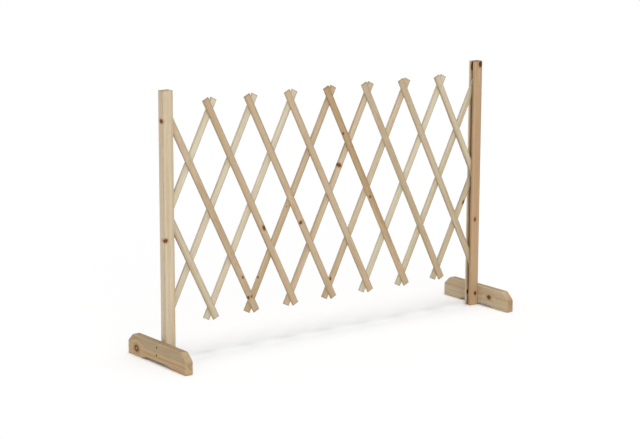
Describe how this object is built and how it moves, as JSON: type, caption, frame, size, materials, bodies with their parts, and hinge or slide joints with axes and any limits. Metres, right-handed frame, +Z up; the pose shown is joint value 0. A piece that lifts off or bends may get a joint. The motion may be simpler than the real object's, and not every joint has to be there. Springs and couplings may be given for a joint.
{
  "type": "expanding wooden trellis",
  "caption": "Free-standing expanding plant trellis: a scissor lattice of riveted pine slats between two grooved posts on arched foot boards.",
  "frame": {"origin": "on the floor, at the middle of the opened panel, halfway between the posts and between the front and back of the feet", "axes": "+X along the panel from the left post to the right post, -Y towards the front, +Z up"},
  "size_m": [1.4434, 0.36, 0.92],
  "materials": {
    "post_pine": "planed, untreated",
    "foot_pine": "planed, untreated",
    "front_slat_pine": "sawn and planed, untreated",
    "back_slat_pine": "sawn and planed, untreated",
    "zinc_steel": "zinc plated"
  },
  "bodies": {
    "left_stand": {"left_post": "post_pine", "left_foot": "foot_pine", "left_foot_screws": "zinc_steel", "left_pivot_pin": "zinc_steel"},
    "right_stand": {"right_post": "post_pine", "right_foot": "foot_pine", "right_foot_screws": "zinc_steel", "right_pivot_pin": "zinc_steel"},
    "front_slat_1": {"front_slat_1": "front_slat_pine", "front_slat_1_rivets": "zinc_steel"},
    "front_slat_2": {"front_slat_2": "front_slat_pine", "front_slat_2_rivets": "zinc_steel"},
    "front_slat_3": {"front_slat_3": "front_slat_pine", "front_slat_3_rivets": "zinc_steel"},
    "front_slat_4": {"front_slat_4": "front_slat_pine", "front_slat_4_rivets": "zinc_steel"},
    "front_slat_5": {"front_slat_5": "front_slat_pine", "front_slat_5_rivets": "zinc_steel"},
    "front_slat_6": {"front_slat_6": "front_slat_pine", "front_slat_6_rivets": "zinc_steel"},
    "front_slat_7": {"front_slat_7": "front_slat_pine", "front_slat_7_rivets": "zinc_steel"},
    "front_slat_8": {"front_slat_8": "front_slat_pine", "front_slat_8_rivets": "zinc_steel"},
    "front_slat_9": {"front_slat_9": "front_slat_pine", "front_slat_9_rivets": "zinc_steel"},
    "back_slat_1": {"back_slat_1": "back_slat_pine"},
    "back_slat_2": {"back_slat_2": "back_slat_pine"},
    "back_slat_3": {"back_slat_3": "back_slat_pine"},
    "back_slat_4": {"back_slat_4": "back_slat_pine"},
    "back_slat_5": {"back_slat_5": "back_slat_pine"},
    "back_slat_6": {"back_slat_6": "back_slat_pine"},
    "back_slat_7": {"back_slat_7": "back_slat_pine"},
    "back_slat_8": {"back_slat_8": "back_slat_pine"},
    "back_slat_9": {"back_slat_9": "back_slat_pine"}
  },
  "joints": [
    {"name": "panel_fold", "type": "hinge", "parent": "left_stand", "child": "back_slat_1", "pos_m": [-0.66874, 0, 0.501], "axis": [0, 1, 0], "range_deg": [-22, 10]},
    {"name": "front_slat_1_pivot", "type": "hinge", "parent": "left_stand", "child": "front_slat_1", "pos_m": [-0.66874, 0, 0.501], "axis": [0, 1, 0], "range_deg": [-10, 22]},
    {"name": "front_slat_2_pivot", "type": "hinge", "parent": "back_slat_1", "child": "front_slat_2", "pos_m": [-0.58515, 0, 0.67051], "axis": [0, 1, 0], "range_deg": [-20, 44]},
    {"name": "front_slat_3_pivot", "type": "hinge", "parent": "back_slat_1", "child": "front_slat_3", "pos_m": [-0.50156, 0, 0.84002], "axis": [0, 1, 0], "range_deg": [-20, 44]},
    {"name": "back_slat_2_pivot", "type": "hinge", "parent": "front_slat_1", "child": "back_slat_2", "pos_m": [-0.58515, 0, 0.33149], "axis": [0, 1, 0], "range_deg": [-44, 20]},
    {"name": "back_slat_3_pivot", "type": "hinge", "parent": "front_slat_1", "child": "back_slat_3", "pos_m": [-0.50156, 0, 0.16198], "axis": [0, 1, 0], "range_deg": [-44, 20]},
    {"name": "back_slat_4_pivot", "type": "hinge", "parent": "front_slat_3", "child": "back_slat_4", "pos_m": [-0.25078, 0, 0.33149], "axis": [0, 1, 0], "range_deg": [-44, 20]},
    {"name": "back_slat_5_pivot", "type": "hinge", "parent": "front_slat_3", "child": "back_slat_5", "pos_m": [-0.16719, 0, 0.16198], "axis": [0, 1, 0], "range_deg": [-44, 20]},
    {"name": "front_slat_4_pivot", "type": "hinge", "parent": "back_slat_3", "child": "front_slat_4", "pos_m": [-0.25078, 0, 0.67051], "axis": [0, 1, 0], "range_deg": [-20, 44]},
    {"name": "front_slat_5_pivot", "type": "hinge", "parent": "back_slat_3", "child": "front_slat_5", "pos_m": [-0.16719, 0, 0.84002], "axis": [0, 1, 0], "range_deg": [-20, 44]},
    {"name": "back_slat_6_pivot", "type": "hinge", "parent": "front_slat_5", "child": "back_slat_6", "pos_m": [0.08359, 0, 0.33149], "axis": [0, 1, 0], "range_deg": [-44, 20]},
    {"name": "back_slat_7_pivot", "type": "hinge", "parent": "front_slat_5", "child": "back_slat_7", "pos_m": [0.16719, 0, 0.16198], "axis": [0, 1, 0], "range_deg": [-44, 20]},
    {"name": "front_slat_6_pivot", "type": "hinge", "parent": "back_slat_5", "child": "front_slat_6", "pos_m": [0.08359, 0, 0.67051], "axis": [0, 1, 0], "range_deg": [-20, 44]},
    {"name": "front_slat_7_pivot", "type": "hinge", "parent": "back_slat_5", "child": "front_slat_7", "pos_m": [0.16719, 0, 0.84002], "axis": [0, 1, 0], "range_deg": [-20, 44]},
    {"name": "front_slat_8_pivot", "type": "hinge", "parent": "back_slat_7", "child": "front_slat_8", "pos_m": [0.41796, 0, 0.67051], "axis": [0, 1, 0], "range_deg": [-20, 44]},
    {"name": "front_slat_9_pivot", "type": "hinge", "parent": "back_slat_7", "child": "front_slat_9", "pos_m": [0.50156, 0, 0.84002], "axis": [0, 1, 0], "range_deg": [-20, 44]},
    {"name": "back_slat_8_pivot", "type": "hinge", "parent": "front_slat_7", "child": "back_slat_8", "pos_m": [0.41796, 0, 0.33149], "axis": [0, 1, 0], "range_deg": [-44, 20]},
    {"name": "back_slat_9_pivot", "type": "hinge", "parent": "front_slat_7", "child": "back_slat_9", "pos_m": [0.50156, 0, 0.16198], "axis": [0, 1, 0], "range_deg": [-44, 20]},
    {"name": "right_stand_pivot", "type": "hinge", "parent": "front_slat_9", "child": "right_stand", "pos_m": [0.66874, 0, 0.501], "axis": [0, 1, 0], "range_deg": [-22, 10]}
  ],
  "couplings": [
    {"joint": "front_slat_1_pivot", "follows": "panel_fold", "ratio": -1},
    {"joint": "front_slat_2_pivot", "follows": "panel_fold", "ratio": -2},
    {"joint": "front_slat_3_pivot", "follows": "panel_fold", "ratio": -2},
    {"joint": "back_slat_2_pivot", "follows": "panel_fold", "ratio": 2},
    {"joint": "back_slat_3_pivot", "follows": "panel_fold", "ratio": 2},
    {"joint": "back_slat_4_pivot", "follows": "panel_fold", "ratio": 2},
    {"joint": "back_slat_5_pivot", "follows": "panel_fold", "ratio": 2},
    {"joint": "front_slat_4_pivot", "follows": "panel_fold", "ratio": -2},
    {"joint": "front_slat_5_pivot", "follows": "panel_fold", "ratio": -2},
    {"joint": "back_slat_6_pivot", "follows": "panel_fold", "ratio": 2},
    {"joint": "back_slat_7_pivot", "follows": "panel_fold", "ratio": 2},
    {"joint": "front_slat_6_pivot", "follows": "panel_fold", "ratio": -2},
    {"joint": "front_slat_7_pivot", "follows": "panel_fold", "ratio": -2},
    {"joint": "front_slat_8_pivot", "follows": "panel_fold", "ratio": -2},
    {"joint": "front_slat_9_pivot", "follows": "panel_fold", "ratio": -2},
    {"joint": "back_slat_8_pivot", "follows": "panel_fold", "ratio": 2},
    {"joint": "back_slat_9_pivot", "follows": "panel_fold", "ratio": 2},
    {"joint": "right_stand_pivot", "follows": "panel_fold", "ratio": 1}
  ]
}
